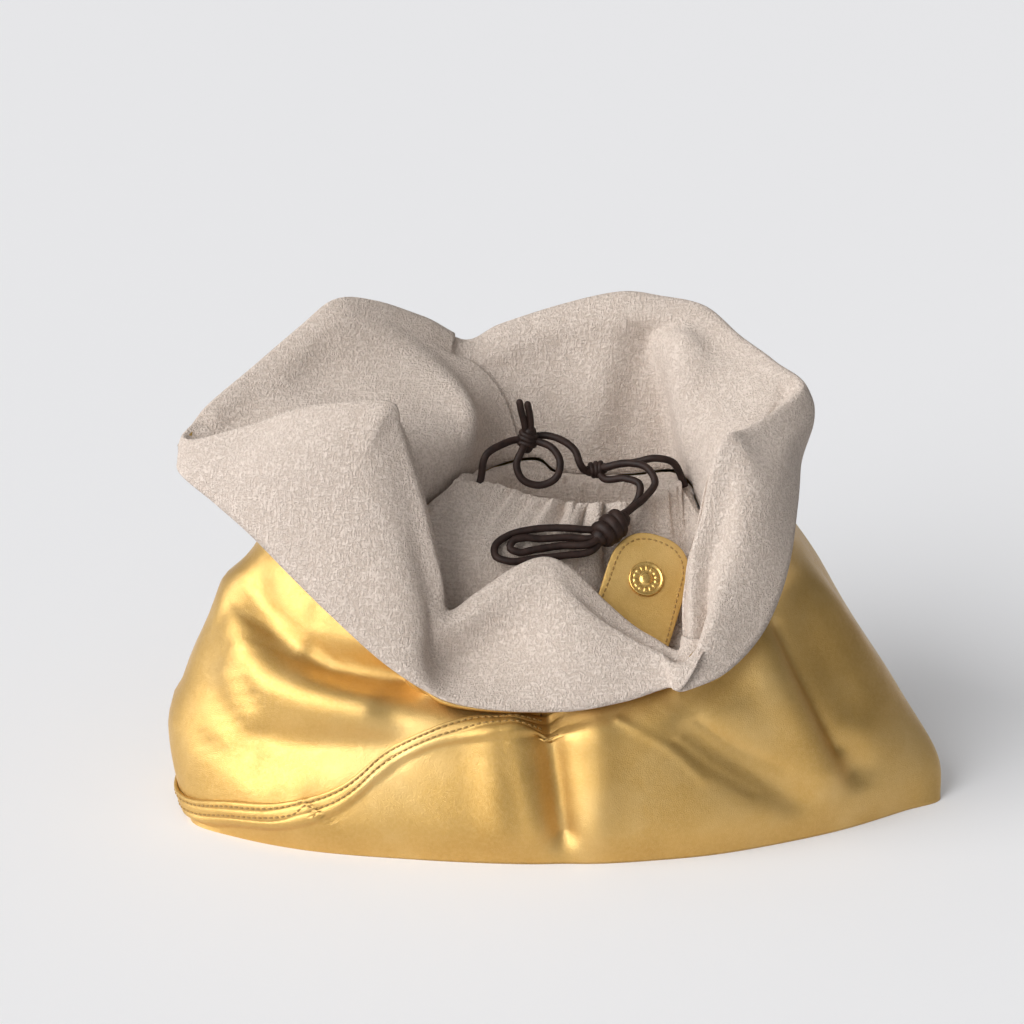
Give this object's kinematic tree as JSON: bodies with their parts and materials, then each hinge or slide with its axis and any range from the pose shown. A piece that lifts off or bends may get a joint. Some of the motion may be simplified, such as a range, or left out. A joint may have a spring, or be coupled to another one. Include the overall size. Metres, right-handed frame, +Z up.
{
  "type": "slouched drawstring shoulder bag",
  "caption": "Slouched gold leather shoulder bag with a wide fold-out lining cuff, a gathered drawstring pouch and a small snap tab.",
  "frame": {"origin": "on the floor under the bag, near the middle of its width and depth", "axes": "+X along the bag's long side to its right tip, +Y to its back, +Z up"},
  "size_m": [0.4106, 0.2202, 0.2505],
  "materials": {
    "gold_leather": "metallic satin, fine grain",
    "beige_lining": "matt, fine woven suede",
    "brown_cord": "semi-matt round leather",
    "gold_metal": "polished gold"
  },
  "bodies": {
    "root": {"lower_panel": "gold_leather", "side_panel": "gold_leather", "front_lining_flap": "beige_lining", "back_lining_flap": "beige_lining", "drawstring_pouch": "beige_lining", "tab_back": "gold_leather", "tab_front": "gold_leather", "snap_cap": "gold_metal", "snap_socket": "gold_metal", "cord_left": "brown_cord", "cord_ring": "brown_cord", "cord_second_loop": "brown_cord", "cord_right": "brown_cord", "cord_upper_strand": "brown_cord", "cord_lower_strand": "brown_cord", "cord_long_loop": "brown_cord", "cord_short_loop": "brown_cord", "left_knot": "brown_cord", "middle_knot": "brown_cord", "big_knot": "brown_cord"}
  },
  "joints": []
}
